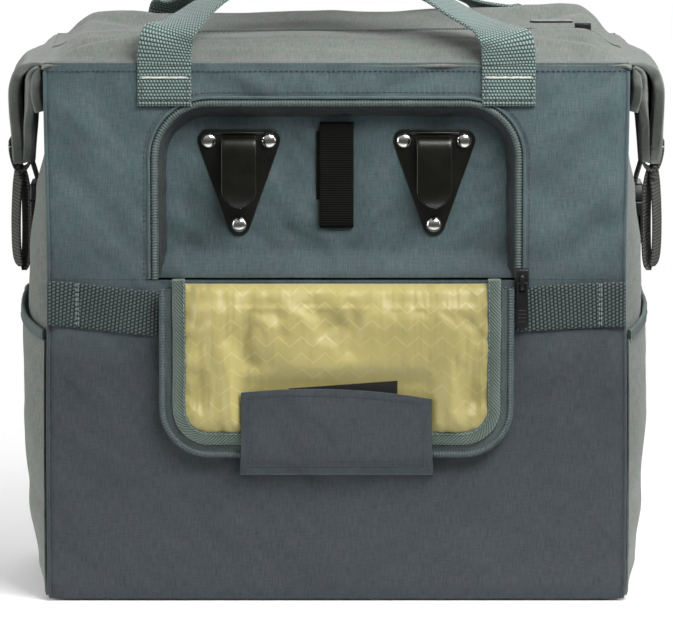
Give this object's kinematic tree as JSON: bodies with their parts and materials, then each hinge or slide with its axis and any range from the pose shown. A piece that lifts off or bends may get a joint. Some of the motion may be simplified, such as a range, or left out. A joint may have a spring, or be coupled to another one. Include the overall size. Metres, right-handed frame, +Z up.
{
  "type": "pannier bag",
  "caption": "Bicycle pannier bag: box shape with fold-over zipped top, webbing handles, side pockets and a zipped back flap over rack hooks.",
  "frame": {"origin": "centre of the base, on the surface that the bag stands on", "axes": "+Z up; -Y is the side that hangs against the bicycle; +X to the right when looking at that side"},
  "size_m": [0.396, 0.1798, 0.3647],
  "materials": {
    "blue_grey_fabric": "woven polyester, slight sheen",
    "khaki_grey_fabric": "woven polyester, matt",
    "teal_webbing": "ribbed polyester webbing",
    "edge_binding": "twill tape",
    "zip_tape": "coil zip",
    "quilted_lining": "satin with a tone-on-tone zigzag",
    "recess_gusset_fabric": "thin coated fabric",
    "stiffener_board": "extruded board",
    "black_webbing": "ribbed webbing",
    "hook_and_loop": "hook-and-loop pile",
    "black_plastic": "moulded",
    "coated_hook_steel": "black plastic-coated steel",
    "nickel_rivet": "polished nickel"
  },
  "bodies": {
    "root": {"back_board": "stiffener_board", "back_panel_lower": "blue_grey_fabric", "back_panel_upper": "blue_grey_fabric", "base_board": "stiffener_board", "body_zip_chain": "zip_tape", "bottom_panel": "khaki_grey_fabric", "buckle_socket_left": "black_plastic", "buckle_socket_right": "black_plastic", "front_panel": "khaki_grey_fabric", "gusset_left": "khaki_grey_fabric", "gusset_right": "khaki_grey_fabric", "gusset_strap_left": "teal_webbing", "gusset_strap_right": "teal_webbing", "handle_end_back_left": "teal_webbing", "handle_end_back_right": "teal_webbing", "handle_end_front_left": "teal_webbing", "handle_end_front_right": "teal_webbing", "hook_board": "stiffener_board", "hook_left": "coated_hook_steel", "hook_right": "coated_hook_steel", "hook_rivet_left_inner": "nickel_rivet", "hook_rivet_left_low": "nickel_rivet", "hook_rivet_left_outer": "nickel_rivet", "hook_rivet_right_inner": "nickel_rivet", "hook_rivet_right_low": "nickel_rivet", "hook_rivet_right_outer": "nickel_rivet", "interior_lining": "quilted_lining", "luggage_band": "teal_webbing", "pocket_hem_left": "teal_webbing", "pocket_hem_right": "teal_webbing", "recess_gusset": "recess_gusset_fabric", "recess_panel": "blue_grey_fabric", "side_pocket_left": "khaki_grey_fabric", "side_pocket_right": "khaki_grey_fabric"},
    "flap": {"flap_outer": "blue_grey_fabric", "flap_lining": "quilted_lining", "flap_binding": "edge_binding", "flap_zip_chain": "zip_tape", "flap_loop_strip": "hook_and_loop"},
    "keeper": {"keeper_tab": "blue_grey_fabric", "keeper_hook_strip": "hook_and_loop"},
    "zip_slider": {"zip_slider": "black_plastic"},
    "zip_pull": {"zip_pull": "black_plastic"},
    "centre_loop": {"centre_loop": "black_webbing"},
    "top_back": {"top_back_panel": "khaki_grey_fabric", "top_zip_back": "zip_tape"},
    "top_front": {"top_front_panel": "khaki_grey_fabric", "top_zip_front": "zip_tape"},
    "handle_back": {"handle_back": "teal_webbing"},
    "handle_front": {"handle_front": "teal_webbing"},
    "top_zip_slider": {"top_zip_slider": "black_plastic"},
    "top_zip_pull": {"top_zip_pull": "black_plastic"},
    "ear_left": {"ear_left": "khaki_grey_fabric", "ear_webbing_left": "black_webbing", "buckle_plug_left": "black_plastic"},
    "ear_right": {"ear_right": "khaki_grey_fabric", "ear_webbing_right": "black_webbing", "buckle_plug_right": "black_plastic"}
  },
  "joints": [
    {"name": "flap_hinge", "type": "hinge", "parent": "root", "child": "flap", "pos_m": [0, -0.0845, 0.195], "axis": [-1, 0, 0], "range_deg": [0, 180]},
    {"name": "keeper_hinge", "type": "hinge", "parent": "root", "child": "keeper", "pos_m": [0, -0.082, 0.079], "axis": [1, 0, 0], "range_deg": [0, 105]},
    {"name": "zip_slide", "type": "slide", "parent": "root", "child": "zip_slider", "axis": [0, 0, 1], "range_m": [0, 0.062]},
    {"name": "zip_pull_hinge", "type": "hinge", "parent": "zip_slider", "child": "zip_pull", "pos_m": [0.111, -0.0866, 0.1945], "axis": [-1, 0, 0], "range_deg": [0, 135]},
    {"name": "centre_loop_hinge", "type": "hinge", "parent": "root", "child": "centre_loop", "pos_m": [0, -0.0632, 0.289], "axis": [1, 0, 0], "range_deg": [-60, 0]},
    {"name": "top_back_hinge", "type": "hinge", "parent": "root", "child": "top_back", "pos_m": [0, -0.08, 0.3273], "axis": [1, 0, 0], "range_deg": [0, 90]},
    {"name": "top_front_hinge", "type": "hinge", "parent": "root", "child": "top_front", "pos_m": [0, 0.08, 0.3273], "axis": [-1, 0, 0], "range_deg": [0, 90]},
    {"name": "handle_back_hinge", "type": "hinge", "parent": "top_back", "child": "handle_back", "pos_m": [0, -0.0818, 0.3315], "axis": [1, 0, 0], "range_deg": [0, 85]},
    {"name": "handle_front_hinge", "type": "hinge", "parent": "top_front", "child": "handle_front", "pos_m": [0, 0.0818, 0.3315], "axis": [-1, 0, 0], "range_deg": [0, 85]},
    {"name": "top_zip_slide", "type": "slide", "parent": "top_back", "child": "top_zip_slider", "axis": [1, 0, 0], "range_m": [-0.3, 0]},
    {"name": "top_zip_pull_hinge", "type": "hinge", "parent": "top_zip_slider", "child": "top_zip_pull", "pos_m": [0.1445, -0.0058, 0.3438], "axis": [0, 1, 0], "range_deg": [0, 150]},
    {"name": "ear_left_hinge", "type": "hinge", "parent": "root", "child": "ear_left", "pos_m": [-0.1765, 0, 0.3265], "axis": [0, 1, 0], "range_deg": [0, 110]},
    {"name": "ear_right_hinge", "type": "hinge", "parent": "root", "child": "ear_right", "pos_m": [0.1765, 0, 0.3265], "axis": [0, -1, 0], "range_deg": [0, 110]}
  ]
}
